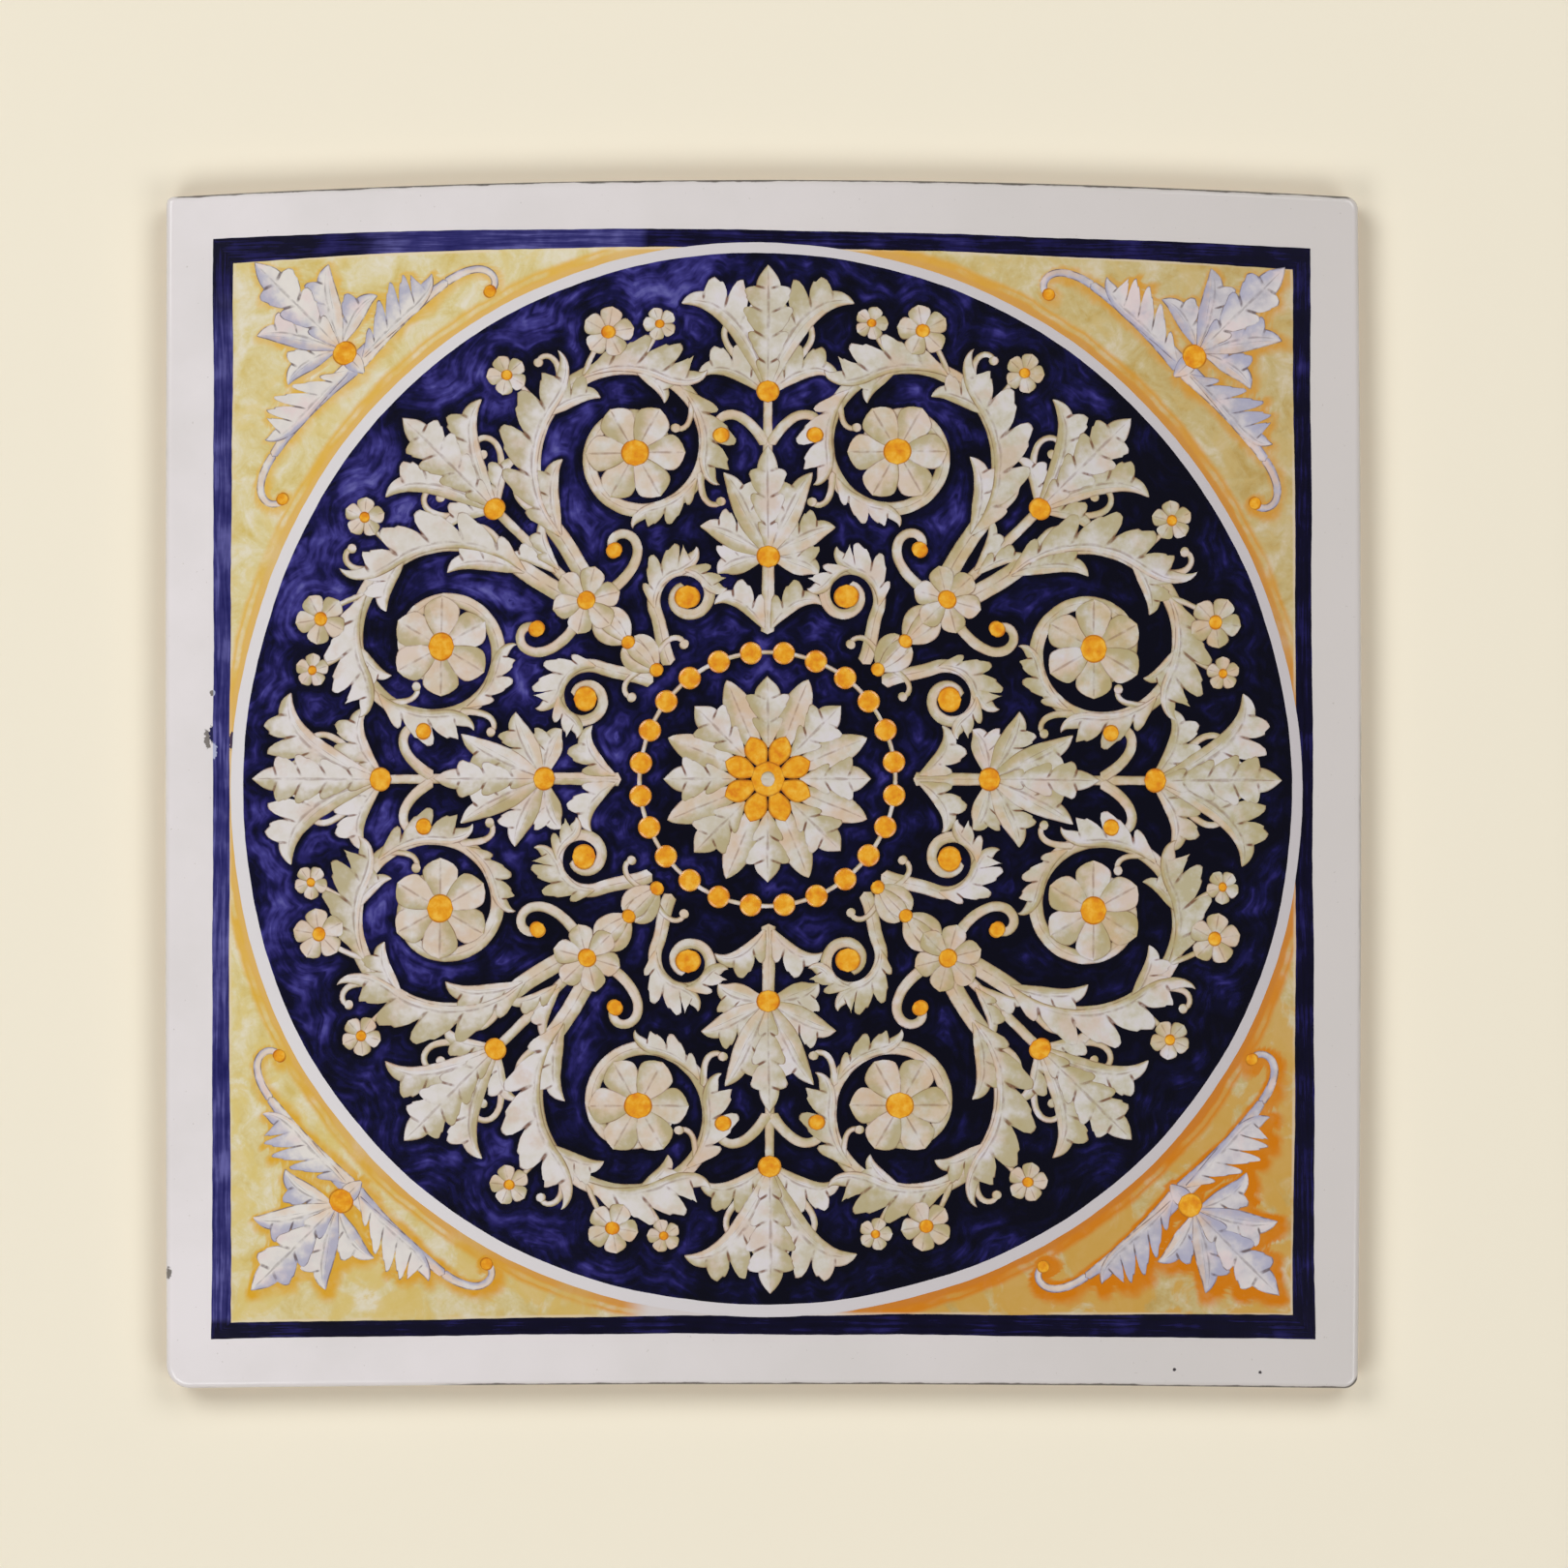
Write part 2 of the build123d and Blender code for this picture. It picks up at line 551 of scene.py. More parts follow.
def lay_bead(bm, x, y):
    """A round drop of glaze that stands a little proud."""
    x, y = on_tile(x, y)
    size = Matrix.Diagonal((BEAD_RADIUS, BEAD_RADIUS, film_height(BEAD_LEVEL), 1))
    shape = Matrix.Translation((x, y, FACE)) @ size
    drop = bmesh.ops.create_uvsphere(bm, u_segments=28, v_segments=14, radius=1.0, matrix=shape)["verts"]
    stroke_data = bm.verts.layers.float_vector["stroke"]
    for vert in drop:
        dx, dy = (vert.co.x - x) / BEAD_RADIUS, (vert.co.y - y) / BEAD_RADIUS
        vert[stroke_data] = (dx, dy, BEAD_RADIUS * (1 - hypot(dx, dy)))
        vert.co.z = max(vert.co.z, FACE - SUNK)
    return x, y


def new_mesh():
    """An empty drawing whose points hold their place in a stroke and its tint."""
    bm = bmesh.new()
    bm.verts.layers.float_vector.new("stroke")
    bm.verts.layers.float.new("tint")
    return bm


def add_object(name, data):
    """Adds a thing to the scene."""
    thing = bpy.data.objects.new(name, data)
    bpy.context.scene.collection.objects.link(thing)
    return thing


def finish_piece(bm, name, material, slot, smooth=False):
    """Turns a drawing in millimetres into a piece of the tile."""
    bmesh.ops.recalc_face_normals(bm, faces=bm.faces)
    bmesh.ops.scale(bm, vec=(MM, MM, MM), verts=bm.verts)
    mesh = bpy.data.meshes.new(name)
    for face in bm.faces:
        face.smooth = smooth
    bm.to_mesh(mesh)
    bm.free()
    mesh.materials.append(material)
    piece = add_object(name, mesh)
    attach(piece, "root")


# Materials

def tone(red, green, blue):
    """A colour as it shows on screen, from 0 to 255, in the linear values that a shader takes."""
    def linear(value):
        value /= 255
        return value / 12.92 if value <= 0.04045 else ((value + 0.055) / 1.055) ** 2.4
    return linear(red), linear(green), linear(blue), 1.0


GLOSS = 0.16  # roughness of the fired glaze
CLAY_ROUGHNESS = 0.62  # what bare clay adds to it
GLASS_IOR = 1.5
WAVE_DEPTH = 0.3
STREAK_LENGTH, STREAK_BREADTH = 16.0, 0.9  # of the brush marks along the frame
STROKE_REACH, STROKE_BREADTH = 7.0, 1.5  # of the watery strokes of the roundel's ground

# Damage, as x, y, half width and half height on the face, and its tone
SPOT_DEPTH = 3.0  # how far a spot reaches down the side of the tile
# the first of these tones is painted shade in the hollow of a chip
CHIP_SHADE, CHIP_NAVY, CHIP_BARE = tone(124, 118, 114), tone(38, 36, 74), tone(168, 172, 202)
SPECK = tone(66, 60, 64)
MARGIN_MARKS = [
    (-139.9, 11.2, 0.75, 2.5, CHIP_SHADE),  # crescent beside the frame: a chip, grey with painted shade in its hollow
    (-138.7, 12.5, 0.8, 2.1, CHIP_NAVY),  # paint that ran out past the frame
    # a small chip, grey with painted shade in it
    (-138.8, 22.9, 0.5, 0.7, CHIP_SHADE),
    (-149.6, -123.0, 0.8, 1.4, CHIP_SHADE),  # nick in the left edge, grey with painted shade in it
    (103.4, -147.3, 0.45, 0.45, SPECK),
    (125.0, -148.0, 0.45, 0.45, SPECK),
]
FRAME_MARKS = [(-138.3, 8.4, 0.8, 1.9, CHIP_BARE), (-138.4, 22.9, 0.5, 0.7, CHIP_BARE)]
YELLOW_MARKS = [(-133.6, 11.0, 0.9, 2.2, tone(70, 56, 78))]


class Glaze:
    """A fired glaze under construction."""

    def __init__(self, name):
        self.material = bpy.data.materials.new(name)
        self.material.use_nodes = True
        self.tree = self.material.node_tree
        self.shader = self.tree.nodes["Principled BSDF"]
        self.shader.inputs["IOR"].default_value = GLASS_IOR
        self.place = self.add("ShaderNodeTexCoord").outputs["Object"]

    def feed(self, node, socket, value):
        """Links a socket to another one, or gives it a plain value."""
        if isinstance(value, bpy.types.NodeSocket):
            self.tree.links.new(value, node.inputs[socket])
        else:
            node.inputs[socket].default_value = value

    def add(self, kind, inputs=(), **settings):
        node = self.tree.nodes.new(kind)
        for setting, value in settings.items():
            setattr(node, setting, value)
        for socket, value in dict(inputs).items():
            self.feed(node, socket, value)
        return node

    def math(self, operation, first, second=0.0):
        return self.add("ShaderNodeMath", {0: first, 1: second}, operation=operation).outputs[0]

    def vector_math(self, operation, first, second=(0, 0, 0)):
        return self.add("ShaderNodeVectorMath", {0: first, 1: second}, operation=operation).outputs

    def times(self, first, *others):
        """The product of two or more values."""
        for value in others:
            first = self.math("MULTIPLY", first, value)
        return first

    def most(self, first, second):
        return self.math("MAXIMUM", first, second)

    def apart(self, value, middle=0.0):
        """How far a value lies from a middle, on either side."""
        return self.math("ABSOLUTE", self.math("SUBTRACT", value, middle))

    def blend(self, parts, offset=0.0):
        """Adds values, each taken to its share."""
        total = offset
        for value, share in parts:
            total = self.math("ADD", total, self.times(value, share))
        return total

    def split(self, vector):
        return self.add("ShaderNodeSeparateXYZ", {0: vector}).outputs

    def joined(self, x, y, z):
        return self.add("ShaderNodeCombineXYZ", {0: x, 1: y, 2: z}).outputs[0]

    def on_face(self):
        """The place on the tile, in millimetres."""
        return self.split(self.vector_math("MULTIPLY", self.place, (1 / MM, 1 / MM, 1 / MM))[0])

    def in_stroke(self):
        """The place along a stroke, across it and in from its edge."""
        return self.split(self.add("ShaderNodeAttribute", attribute_name="stroke").outputs["Vector"])

    def attribute(self, name):
        return self.add("ShaderNodeAttribute", attribute_name=name).outputs["Fac"]

    def slant(self):
        """Millimetres from the upper left, where painted light makes the tile paler, to the lower right."""
        x, y, _ = self.on_face()
        return self.blend([(x, 1.0), (y, -0.4)])

    def cloud(self, size, detail=3.0, roughness=0.55, distortion=0.0, vector=None):
        """Soft noise from 0 to 1, with patches about so many millimetres wide."""
        inputs = {
            "Vector": vector or self.place, "Scale": 1 / (size * MM) if vector is None else 1 / size,
            "Detail": detail, "Roughness": roughness, "Distortion": distortion,
        }
        return self.add("ShaderNodeTexNoise", inputs).outputs["Fac"]

    def between(self, value, low, high):
        """0 below low and 1 above high, with a soft step; the other way round if low is above high."""
        inputs = {"Value": value, "From Min": low, "From Max": high}
        return self.add("ShaderNodeMapRange", inputs, interpolation_type="SMOOTHSTEP").outputs[0]

    def ramp(self, value, *stops):
        """Colours by value. Each stop is a value and its red, green and blue on screen."""
        node = self.add("ShaderNodeValToRGB", {0: value})
        elements = node.color_ramp.elements
        while len(elements) < len(stops):
            elements.new(0.5)
        for element, (position, *color) in zip(elements, stops):
            element.position = position
            element.color = tone(*color)
        return node.outputs["Color"]

    def mix(self, share, first, second):
        return self.add("ShaderNodeMix", {0: share, 6: first, 7: second}, data_type="RGBA").outputs[2]

    def spot(self, x, y, half_width, half_height):
        """1 in a ragged spot on the face and 0 outside it. Places and sizes are in millimetres."""
        moved = self.vector_math("SUBTRACT", self.place, (x * MM, y * MM, FACE * MM))[0]
        sizes = (1 / (half_width * MM), 1 / (half_height * MM), 1 / (SPOT_DEPTH * MM))
        out = self.vector_math("LENGTH", self.vector_math("MULTIPLY", moved, sizes)[0])["Value"]
        return self.between(self.blend([(out, 1.0), (self.cloud(0.9, 4, 0.7), 2.2)], -1.1), 1.08, 0.85)

    def marked(self, color, marks):
        """Sets spots of damage into a colour."""
        for *spot, shade in marks:
            color = self.mix(self.spot(*spot), color, shade)
        return color

    def done(self, color, wave_size, bump=0.05, rough=GLOSS):
        """Sets the colour and the slight waves of a fired glaze."""
        self.feed(self.shader, "Base Color", color)
        self.feed(self.shader, "Roughness", rough)
        inputs = {"Height": self.cloud(wave_size, 2.0), "Strength": bump, "Distance": WAVE_DEPTH * MM}
        self.feed(self.shader, "Normal", self.add("ShaderNodeBump", inputs).outputs["Normal"])
        return self.material


def white_glaze():
    """The tile itself: white glaze, darker over parts of the edge, and bare clay at the back."""
    glaze = Glaze("white_glaze")
    x, y, z = glaze.on_face()
    # painted light: the face is drawn lighter at the left of the tile and darker at the right
    face = glaze.mix(glaze.between(x, -150, 150), tone(229, 223, 225), tone(207, 201, 199))
    patches = glaze.between(glaze.cloud(38, 4), 0.3, 0.75)
    face = glaze.mix(glaze.times(patches, 0.35), face, tone(200, 196, 192))
    pinholes = glaze.between(glaze.cloud(0.9, 1), 0.765, 0.80)
    face = glaze.mix(glaze.times(pinholes, 0.35), face, tone(150, 140, 130))
    # the face is drawn darker over the upper edge, most of the lower one and a stretch of the right one
    depth = glaze.blend([(z, -1.0)], FACE)
    ragged_depth = glaze.blend([(depth, 1.0), (glaze.cloud(7, 4), 0.9)], -0.45)
    # thin: the band next to the edge that is drawn darker
    thin = glaze.between(ragged_depth, 0.22, 0.50)
    upper_or_lower = glaze.between(glaze.math("SUBTRACT", glaze.apart(y), glaze.apart(x)), -1, 1)
    lower_left = glaze.times(glaze.between(y, 0, -10), glaze.between(x, -70, -86))
    level = glaze.times(upper_or_lower, glaze.blend([(lower_left, -0.95)], 0.95))
    upright = glaze.times(glaze.between(x, 147, 149), glaze.between(glaze.apart(y, -19.5), 40, 30))
    dark = glaze.times(thin, glaze.most(level, glaze.times(upright, 0.28)))
    edge = glaze.mix(dark, face, tone(76, 70, 66))
    side = glaze.mix(glaze.between(ragged_depth, 1.2, 2.6), edge, tone(196, 190, 184))
    # below a wandering line the clay is bare
    bare = glaze.between(glaze.blend([(depth, 1.0), (glaze.cloud(16, 3), 7.0)]), 9.6, 10.2)
    clay = glaze.ramp(glaze.cloud(1.1, 4, 0.7), (0.30, 168, 128, 98), (0.62, 206, 172, 140))
    color = glaze.marked(glaze.mix(bare, side, clay), MARGIN_MARKS)
    return glaze.done(color, 2.2, 0.06, glaze.blend([(bare, CLAY_ROUGHNESS)], GLOSS))


def cobalt_ground():
    """The roundel's ground: watery strokes that pool dark beside the drawing and at the ring."""
    glaze = Glaze("cobalt_ground")
    x, y, _ = glaze.on_face()
    clear = glaze.attribute("clear")
    x, y = glaze.times(x, 1 / STROKE_REACH), glaze.times(y, 1 / STROKE_REACH)
    watery = glaze.cloud(1, 2, 0.5, 0.3, glaze.joined(x, y, glaze.times(clear, 1 / STROKE_BREADTH)))
    wash = glaze.blend([
        (glaze.cloud(19, 4, 0.55, 0.6), 1.05),
        (watery, 0.60),
        (glaze.cloud(4.5, 2), 0.55),
        (glaze.between(clear, 4.5, 1.0), -0.10),
        (glaze.between(clear, 1.5, 0.4), -0.14),
        (glaze.between(glaze.attribute("rim"), 5.0, 1.0), -0.12),
        # painted light: the wash is drawn lighter toward the upper left of the tile
        (glaze.between(glaze.slant(), 90, -110), 0.25),
    ], -0.735)
    color = glaze.ramp(
        wash, (0.22, 7, 7, 22), (0.38, 11, 11, 38), (0.50, 20, 19, 64), (0.60, 38, 34, 96),
        (0.72, 62, 58, 132), (0.88, 98, 96, 164),
    )
    return glaze.done(color, 2.6)


def cobalt_line():
    """The frame: streaked along its length, violet at the left and upper left, nearly black elsewhere."""
    glaze = Glaze("cobalt_line")
    x, y, _ = glaze.on_face()
    along, across, side = glaze.in_stroke()
    along, across = glaze.times(along, 1 / STREAK_LENGTH), glaze.times(across, 1 / STREAK_BREADTH)
    streaks = glaze.cloud(1, 4, 0.6, 0.3, glaze.joined(along, across, side))
    wash = glaze.blend([(streaks, 0.8), (glaze.cloud(9, 3), 0.7)], -0.25)
    violet = glaze.ramp(wash, (0.3, 28, 27, 86), (0.5, 52, 50, 112), (0.72, 100, 98, 162))
    on_top = glaze.between(y, 120, 130)
    dark = glaze.ramp(
        glaze.blend([(wash, 1.0), (on_top, 0.06)]),
        (0.3, 7, 6, 24), (0.54, 12, 10, 38), (0.68, 28, 25, 78), (0.86, 58, 54, 118),
    )
    upper = glaze.times(glaze.between(x, -28.5, -31.5), glaze.between(x, -106, -86), on_top)
    left = glaze.times(glaze.between(y, -136, -134), glaze.between(y, 126, 112), glaze.between(x, -130, -133))
    color = glaze.mix(glaze.times(glaze.most(left, upper), 0.95), dark, violet)
    return glaze.done(glaze.marked(color, FRAME_MARKS), 2.2)


def yellow_ground():
    """The corners: mottled straw, with ochre in patches and orange beside the sprays and along the ring."""
    glaze = Glaze("yellow_ground")
    x, y, _ = glaze.on_face()
    # painted light and shade: dim runs from the upper left to the lower right, and the straw, ochre, orange,
    # rust and unpainted tones are drawn paler at the upper left and deeper at the lower right
    dim = glaze.between(glaze.slant(), -120, 110)
    lower = glaze.between(y, 40, -100)
    # heat grows toward the bottom, and partly with the painted shade toward the right
    heat = glaze.blend([(dim, 0.25), (lower, 0.40), (glaze.times(dim, lower), 0.35)])

    def graded(*corners):
        """A tone that changes between the upper left, upper right, lower left and lower right of the tile."""
        return glaze.mix(lower, glaze.mix(dim, *corners[:2]), glaze.mix(dim, *corners[2:]))

    mottle = glaze.blend([(glaze.cloud(9, 5, 0.58, 1.0), 1.15), (glaze.cloud(1.9, 3, 0.6, 1.0), 0.30)], -0.22)
    # a lit and a shaded copy of the straw, mixed by the painted shade
    pale = glaze.ramp(mottle, (0.28, 208, 184, 108), (0.50, 216, 202, 152), (0.72, 224, 216, 196))
    deep = glaze.ramp(mottle, (0.28, 181, 150, 84), (0.50, 191, 171, 120), (0.72, 204, 190, 162))
    ochre = graded(tone(218, 196, 128), tone(196, 170, 112), tone(216, 194, 116), tone(197, 153, 72))
    patches = glaze.between(glaze.blend([(glaze.cloud(12, 4, 0.6, 1.0), 1.0), (heat, 0.14)]), 0.53, 0.66)
    patches = glaze.times(patches, glaze.blend([(heat, 0.35)], 0.55))
    color = glaze.mix(patches, glaze.mix(dim, pale, deep), ochre)
    # the halo of a spray is broader on its shaded side
    halo_edge = glaze.blend([(glaze.cloud(8, 2), 6.0), (heat, 1.8)], 0.4)
    halo = glaze.between(glaze.attribute("clear"), halo_edge, glaze.math("SUBTRACT", halo_edge, 3.6))
    halo = glaze.times(halo, glaze.blend([(glaze.cloud(5, 3), 0.9), (heat, 0.20)], 0.32))
    # the line along the ring has a paler stripe in places
    from_ring = glaze.blend([(glaze.attribute("rim"), 1.0), (glaze.cloud(13, 4, 0.6), 2.4)], -1.2)
    line = glaze.times(glaze.between(from_ring, 4.4, 2.8), glaze.between(glaze.cloud(26, 3), 0.16, 0.44))
    stripe = glaze.between(glaze.apart(from_ring, 2.3), 0.9, 0.2)
    stripe = glaze.times(stripe, glaze.between(glaze.cloud(15, 2), 0.40, 0.58))
    line = glaze.times(line, glaze.blend([(stripe, -0.60)], 0.90))
    orange = graded(tone(221, 173, 66), tone(205, 143, 50), tone(216, 166, 44), tone(203, 118, 14))
    color = glaze.mix(glaze.most(halo, line), color, orange)
    rust = glaze.mix(dim, tone(214, 176, 122), tone(184, 116, 58))
    color = glaze.mix(glaze.times(glaze.between(from_ring, 2.0, 0.9), 0.4), color, rust)
    # a pale line is left free of paint beside the frame, and a stretch at the lower end of the ring
    unpainted = glaze.between(glaze.attribute("gap"), 0.85, 0.30)
    unpainted = glaze.times(unpainted, glaze.between(glaze.cloud(17, 2), 0.34, 0.56), 0.75)
    color = glaze.mix(unpainted, color, glaze.mix(dim, tone(226, 208, 176), tone(206, 190, 168)))
    bare = glaze.times(glaze.between(y, -127.5, -129.5), glaze.between(glaze.apart(x, -6), 30, 22))
    color = glaze.mix(bare, color, tone(206, 198, 196))
    return glaze.done(glaze.marked(color, YELLOW_MARKS), 2.2)


def brushed(name, stops, lit, shade, blush, root, edge, edge_share):
    """A paint whose strokes are shaded to one side, veined at the notches and lined at the edge."""
    glaze = Glaze(name)
    along, across, inside = glaze.in_stroke()
    cloud = glaze.blend([(glaze.cloud(5.0, 4, 0.6), 1.0), (glaze.attribute("tint"), 0.20)], -0.10)
    color = glaze.ramp(cloud, *stops)
    # painted light: strokes are drawn lighter toward the left of the tile
    color = glaze.mix(glaze.times(glaze.between(glaze.on_face()[0], 130, -130), 0.6), color, lit)
    color = glaze.mix(glaze.times(glaze.between(glaze.cloud(11, 4, 0.6), 0.50, 0.66), 0.6), color, blush)
    rooted = glaze.times(glaze.between(along, 1.0, 0.1), glaze.between(glaze.cloud(6, 3), 0.35, 0.6), 0.6)
    color = glaze.mix(rooted, color, root)
    # one side of every stroke lies in shade
    lean = glaze.blend([(across, 1.0), (glaze.cloud(2.4, 3), 1.3), (glaze.cloud(9, 3), 2.0)], -1.65)
    color = glaze.mix(glaze.times(glaze.between(lean, -0.05, 0.95), 0.80), color, shade)
    # a vein runs in from each notch, and a rib along the middle
    to_notch = glaze.apart(glaze.math("FRACT", glaze.math("ADD", along, 0.5)), 0.5)
    spread = glaze.apart(across)
    vein = glaze.times(glaze.between(to_notch, 0.085, 0.03), glaze.between(spread, 0.10, 0.50))
    rib = glaze.times(glaze.between(spread, 0.10, 0.03), glaze.between(inside, 0.9, 1.8), 0.5)
    border = glaze.times(glaze.between(inside, 0.36, 0.12), edge_share)
    drawn = glaze.most(glaze.most(vein, rib), border)
    drawn = glaze.times(drawn, glaze.between(glaze.cloud(3.0, 3), 0.30, 0.62), 0.9)
    return glaze.done(glaze.mix(drawn, color, edge), 1.4)


def cream_paint():
    """The strokes of the roundel: ivory, with olive shade and brown lines."""
    return brushed(
        "cream_paint",
        [(0.30, 180, 170, 138), (0.44, 194, 188, 172), (0.56, 204, 199, 194), (0.74, 208, 202, 208)],
        lit=tone(226, 220, 220), shade=tone(172, 158, 112), blush=tone(204, 180, 162),
        root=tone(204, 160, 96), edge=tone(112, 70, 50), edge_share=0.7,
    )


def lilac_paint():
    """The strokes of the corners: nearly white, with violet shade and grey lines."""
    return brushed(
        "lilac_paint",
        [(0.32, 176, 172, 182), (0.50, 200, 194, 198), (0.70, 212, 206, 206)],
        lit=tone(232, 226, 216), shade=tone(162, 162, 188), blush=tone(222, 200, 200),
        root=tone(214, 170, 120), edge=tone(100, 84, 84), edge_share=0.95,
    )


def orange_paint():
    """Beads and flower hearts, mottled and burnt round the edge."""
    glaze = Glaze("orange_paint")
    inside = glaze.in_stroke()[2]
    color = glaze.ramp(glaze.cloud(2.2, 4), (0.3, 216, 128, 30), (0.5, 228, 158, 36), (0.7, 236, 184, 70))
    color = glaze.mix(glaze.times(glaze.between(inside, 0.62, 0.18), 0.6), color, tone(150, 74, 26))
    return glaze.done(color, 1.2)


def ring_glaze():
    """The white ring that was left free of colour."""
    glaze = Glaze("ring_glaze")
    # painted light and shade: the ring is drawn lighter at the left of the tile and darker at the right
    dim = glaze.between(glaze.on_face()[0], -130, 130)
    color = glaze.mix(dim, tone(222, 218, 221), tone(193, 187, 191))
    color = glaze.mix(glaze.times(glaze.cloud(20, 4), 0.3), color, tone(196, 190, 186))
    return glaze.done(color, 2.2)


# Grounds

FRAME_POINTS = (280, 4)  # along a side of the frame and across it
CORNER_POINTS = (200, 90)  # round the ring and out to the frame
ROUNDEL_POINTS = 250
RING_POINTS = 480
FRAME_LENGTH = 276.0
SIDE_APART = 40.0  # keeps the streaks of the four sides apart
LIT_SIDE = Vector((-0.6, 0.8))
HALO_LEAST = 0.22  # share of a halo's width that is left on the lit side of a stroke


def ring_course(angle, side):
    """The radius of the ring's inner edge (side -1) or outer edge (side 1)."""
    drift = sum(depth * cos(radians(waves * angle - start)) for waves, depth, start in OUT_OF_ROUND)
    half = RING_WIDTH / 2 + RING_SWELL * cos(radians(angle - SWELL_ANGLE))
    return RING_RADIUS + drift + side * half


def frame_edges(side, share):
    """The points on the outer and the inner edge of the frame, at a share of one of its sides."""
    points = []
    for corners, bows in ((FRAME_OUTSIDE, OUTSIDE_BOWS), (FRAME_INSIDE, INSIDE_BOWS)):
        start, end = Vector(corners[side]), Vector(corners[(side + 1) % 4])
        outwards = Vector(((end - start).y, -(end - start).x)).normalized()
        bow, skew = bows[side]
        out = bow * 4 * share * (1 - share) * (1 + skew * (2 * share - 1))
        points.append(start.lerp(end, share) + outwards * out)
    return points


def lay_frame_side(i):
    """One side of the cobalt frame, mitred at its corners."""
    bm = new_mesh()
    for vert in unit_grid(bm, *FRAME_POINTS):
        t, v = vert.co.x + 0.5, vert.co.y + 0.5
        outside, inside = frame_edges(i, t)
        vert.co = (*by_hand(*outside.lerp(inside, v)), FACE + FRAME_HEIGHT)
        width = (inside - outside).length
        vert[bm.verts.layers.float_vector["stroke"]] = (t * FRAME_LENGTH, v * width, SIDE_APART * i)
    return closed_film(bm)


def halo_reach(tree, x, y):
    """How far a point is from the nearest stroke, counted longer on the lit side of that stroke."""
    edge, _, distance = tree.find((x, y, 0))
    toward = (Vector((x, y)) - edge.xy) / max(distance, 0.01)
    shaded = 0.5 - 0.5 * toward.dot(LIT_SIDE)
    return distance / (HALO_LEAST + (1 - HALO_LEAST) * shaded)


def lay_corner(corner, tree):
    """The yellow ground of one corner, from under the white ring to under the frame."""
    bm = new_mesh()
    clear, rim, gap = (bm.verts.layers.float.new(name) for name in ("clear", "rim", "gap"))
    middle = Vector(ROUNDEL_MIDDLE)
    for vert in unit_grid(bm, *CORNER_POINTS):
        t, v = vert.co.x + 0.5, vert.co.y + 0.5
        # the first half of the columns ends on the side before the corner, the rest on the side after it
        side, share = ((corner - 1) % 4, 0.5 + t) if t <= 0.5 else (corner, t - 0.5)
        outside, inside = frame_edges(side, share)
        outer = outside.lerp(inside, 0.5)
        away = outer - middle
        ring_edge = ring_course(degrees(atan2(away.y, away.x)), 1)
        inner = middle + away.normalized() * (ring_edge - UNDER_RING)
        place = inner.lerp(outer, v)
        vert.co = (*place, FACE + YELLOW_HEIGHT)
        vert[clear] = halo_reach(tree, *place)
        vert[rim] = (place - middle).length - ring_edge
        vert[gap] = (place - inside).length
    return closed_film(bm)


def lay_roundel(tree):
    """The cobalt disc, with the distances to the nearest stroke and to the ring kept for its material."""
    bm = new_mesh()
    clear, rim = (bm.verts.layers.float.new(name) for name in ("clear", "rim"))
    grid = bmesh.ops.create_grid(bm, x_segments=ROUNDEL_POINTS, y_segments=ROUNDEL_POINTS, size=1.0)
    for vert in grid["verts"]:
        a, b = vert.co.x, vert.co.y
        on_disc = Vector((a * (1 - b * b / 2) ** 0.5, b * (1 - a * a / 2) ** 0.5))
        ring_edge = ring_course(degrees(atan2(on_disc.y, on_disc.x)), -1)
        x, y = Vector(ROUNDEL_MIDDLE) + on_disc * (ring_edge + UNDER_RING)
        vert.co = (x, y, FACE + COBALT_HEIGHT)
        vert[clear] = tree.find((x, y, 0))[2]
        vert[rim] = ring_edge * (1 - on_disc.length)
    return closed_film(bm)


def lay_ring():
    """The white ring round the roundel."""
    bm = new_mesh()
    lift = Matrix.Translation((0, 0, FACE + RING_HEIGHT))
    inner = bmesh.ops.create_circle(bm, segments=RING_POINTS, radius=1.0, matrix=lift)["verts"]
    edges = list({edge for vert in inner for edge in vert.link_edges})
    grown = bmesh.ops.extrude_edge_only(bm, edges=edges)["geom"]
    outer = [vert for vert in grown if isinstance(vert, bmesh.types.BMVert)]
    for side, verts in ((-1, inner), (1, outer)):
        for vert in verts:
            angle = degrees(atan2(vert.co.y, vert.co.x))
            vert.co = (*on_tile(*polar(ring_course(angle, side), angle)), vert.co.z)
    bmesh.ops.bridge_loops(bm, edges=close_below(bm, open_edges(bm)))
    return bm


# The brushwork, group by group

def turned_group(strokes, angle):
    """A group of strokes in its place round the roundel, a little out of true as the hand leaves it."""
    angle += random.uniform(-OUT_OF_TRUE, OUT_OF_TRUE)
    return [stroke.turned(angle) for stroke in strokes]


def brushwork():
    """Every group of strokes by name."""
    scroll = big_scroll() + small_scroll()
    sector = [axis_spray(), diagonal_spray(), scroll, [stroke.mirrored() for stroke in scroll]]
    middle = [bead_string(), rosette()]
    corner = corner_spray()
    for layer in (sector, middle, [corner]):
        stack(layer)
    axis, diagonal, scroll, flipped = sector
    groups = {"rose": middle[1], "bead_string": middle[0]}
    for k in range(4):
        groups[f"axis_spray_{k + 1}"] = turned_group(axis, 90 * k)
        groups[f"diagonal_spray_{k + 1}"] = turned_group(diagonal, 90 * k + 45)
        groups[f"scroll_{2 * k + 1}"] = turned_group(scroll, 90 * k)
        groups[f"scroll_{2 * k + 2}"] = turned_group(flipped, 90 * k)
        groups[f"corner_spray_{k + 1}"] = turned_group(corner, 90 * k + 45)
    return groups


